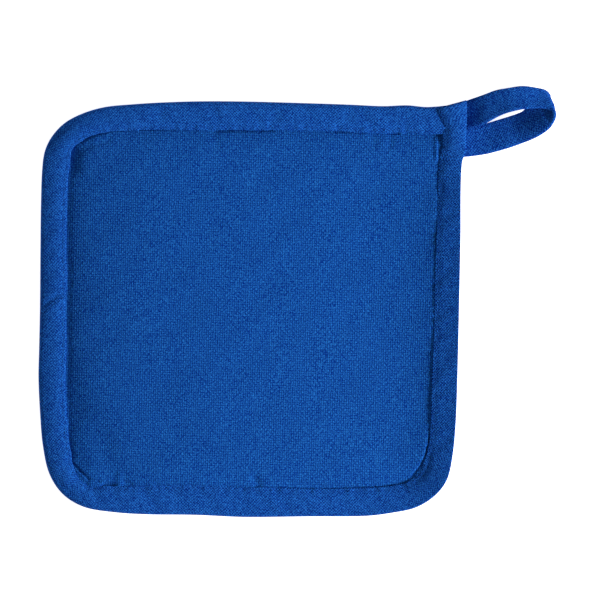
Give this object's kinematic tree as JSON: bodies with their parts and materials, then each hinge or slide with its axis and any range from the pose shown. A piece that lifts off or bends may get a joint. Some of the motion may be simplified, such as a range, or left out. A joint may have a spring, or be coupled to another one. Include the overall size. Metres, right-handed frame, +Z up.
{
  "type": "pot holder",
  "caption": "Square filled cloth pot holder, bound all round with bias tape, with a strap loop at a corner to hang it by.",
  "frame": {"origin": "middle of the whole outline, on the surface the pot holder lies on", "axes": "+X towards the side that the hanging loop stands out from, +Y towards the edge beside the loop, +Z up"},
  "size_m": [0.246, 0.2052, 0.0138],
  "materials": {
    "panel_cotton": "matt",
    "bias_tape_cotton": "matt"
  },
  "bodies": {
    "root": {"pad": "panel_cotton", "top_tape": "bias_tape_cotton", "side_tape": "bias_tape_cotton", "hanging_loop": "bias_tape_cotton"}
  },
  "joints": []
}
